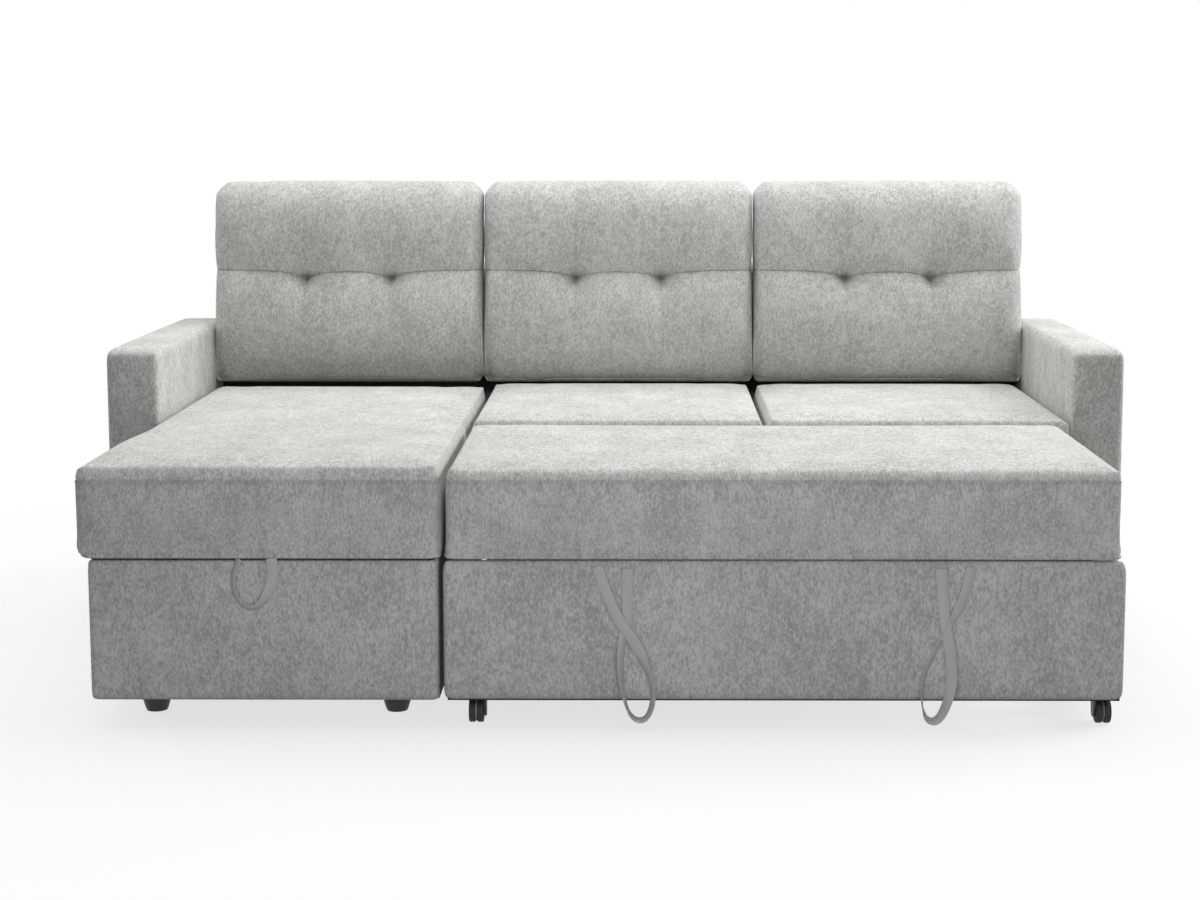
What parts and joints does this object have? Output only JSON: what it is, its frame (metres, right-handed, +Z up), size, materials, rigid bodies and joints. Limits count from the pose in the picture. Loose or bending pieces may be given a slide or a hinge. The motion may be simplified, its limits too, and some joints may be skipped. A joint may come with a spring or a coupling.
{
  "type": "corner sofa bed",
  "caption": "Corner sofa bed with low arms, tufted back cushions, a chaise with a storage box under its cushion, and a pull-out bed whose mattress swings up to seat level",
  "frame": {"origin": "on the floor, under the middle of the sofa's width and depth with the bed out", "axes": "+X to the right seen from the front, +Y to the back, +Z up"},
  "size_m": [2.08, 1.4, 0.936],
  "materials": {
    "upholstery": "matte",
    "strap_tape": "matte",
    "webbing": "matte",
    "frame_wood": "matte",
    "plywood": "matte",
    "steel": "satin",
    "black_plastic": "satin",
    "black_rubber": "matte"
  },
  "bodies": {
    "sofa": {"arm_cover_left": "upholstery", "arm_cover_right": "upholstery", "arm_frame_left": "frame_wood", "arm_frame_right": "frame_wood", "back_cover": "upholstery", "back_frame": "frame_wood", "cushion_ledge": "upholstery", "ledge_brackets": "steel", "seat_frame": "frame_wood", "seat_webbing": "webbing", "seat_cushion_middle": "upholstery", "seat_cushion_right": "upholstery", "back_cushion_left": "upholstery", "back_cushion_middle": "upholstery", "back_cushion_right": "upholstery", "sofa_feet": "black_plastic", "chaise_front_panel": "upholstery", "chaise_left_panel": "upholstery", "chaise_right_panel": "upholstery", "chaise_rear_panel": "plywood", "chaise_floor": "plywood", "chaise_feet": "black_plastic", "lid_bumpers": "black_rubber", "lid_pivot_pins": "steel", "section_connectors": "frame_wood", "guide_runners": "frame_wood"},
    "chaise_lid": {"lid_board": "plywood", "chaise_cushion": "upholstery", "lid_pivot_brackets": "steel", "chaise_pull_loop": "strap_tape"},
    "carriage": {"front_panel_board": "plywood", "front_panel_cover": "upholstery", "side_rail_left": "steel", "side_rail_right": "steel", "cross_boards": "plywood", "panel_brackets": "steel", "caster_brackets": "black_plastic", "caster_axles": "steel", "arm_stops": "steel", "rear_pivot_pins": "steel", "pull_strap_left": "strap_tape", "pull_strap_right": "strap_tape"},
    "front_arms": {"front_arm_left": "steel", "front_arm_right": "steel", "front_shaft": "steel"},
    "rear_arm_left": {"rear_arm_left": "steel"},
    "rear_arm_right": {"rear_arm_right": "steel"},
    "platform": {"platform_frame": "frame_wood", "platform_slats": "frame_wood", "mattress": "upholstery", "platform_pins": "steel"},
    "wheel_front_left": {"wheel_front_left": "black_rubber"},
    "wheel_front_right": {"wheel_front_right": "black_rubber"},
    "wheel_rear_left": {"wheel_rear_left": "black_rubber"},
    "wheel_rear_right": {"wheel_rear_right": "black_rubber"}
  },
  "joints": [
    {"name": "chaise_lid_hinge", "type": "hinge", "parent": "sofa", "child": "chaise_lid", "pos_m": [-0.6125, 0.3, 0.283], "axis": [-1, 0, 0], "range_deg": [0, 65]},
    {"name": "bed_slide", "type": "slide", "parent": "sofa", "child": "carriage", "axis": [0, -1, 0], "range_m": [0, 0.3614]},
    {"name": "front_arms_swing", "type": "hinge", "parent": "carriage", "child": "front_arms", "pos_m": [0.32075, -0.55614, 0.0713], "axis": [-1, 0, 0], "range_deg": [0, 100]},
    {"name": "rear_arm_left_swing", "type": "hinge", "parent": "carriage", "child": "rear_arm_left", "pos_m": [-0.218, -0.19214, 0.0713], "axis": [-1, 0, 0], "range_deg": [0, 100]},
    {"name": "rear_arm_right_swing", "type": "hinge", "parent": "carriage", "child": "rear_arm_right", "pos_m": [0.8595, -0.19214, 0.0713], "axis": [-1, 0, 0], "range_deg": [0, 100]},
    {"name": "platform_level", "type": "hinge", "parent": "front_arms", "child": "platform", "pos_m": [0.32075, -0.594, 0.286], "axis": [1, 0, 0], "range_deg": [0, 100]},
    {"name": "wheel_front_left_spin", "type": "hinge", "parent": "carriage", "child": "wheel_front_left", "pos_m": [-0.24, -0.645, 0.022], "axis": [1, 0, 0], "continuous": true},
    {"name": "wheel_front_right_spin", "type": "hinge", "parent": "carriage", "child": "wheel_front_right", "pos_m": [0.8815, -0.645, 0.022], "axis": [1, 0, 0], "continuous": true},
    {"name": "wheel_rear_left_spin", "type": "hinge", "parent": "carriage", "child": "wheel_rear_left", "pos_m": [-0.24, 0.075, 0.022], "axis": [1, 0, 0], "continuous": true},
    {"name": "wheel_rear_right_spin", "type": "hinge", "parent": "carriage", "child": "wheel_rear_right", "pos_m": [0.8815, 0.075, 0.022], "axis": [1, 0, 0], "continuous": true}
  ],
  "couplings": [
    {"joint": "front_arms_swing", "follows": "bed_slide", "rad_per_m": 4.8286},
    {"joint": "rear_arm_left_swing", "follows": "bed_slide", "rad_per_m": 4.8286},
    {"joint": "rear_arm_right_swing", "follows": "bed_slide", "rad_per_m": 4.8286},
    {"joint": "platform_level", "follows": "bed_slide", "rad_per_m": 4.8286},
    {"joint": "wheel_front_left_spin", "follows": "bed_slide", "rad_per_m": 45.455},
    {"joint": "wheel_front_right_spin", "follows": "bed_slide", "rad_per_m": 45.455},
    {"joint": "wheel_rear_left_spin", "follows": "bed_slide", "rad_per_m": 45.455},
    {"joint": "wheel_rear_right_spin", "follows": "bed_slide", "rad_per_m": 45.455}
  ]
}
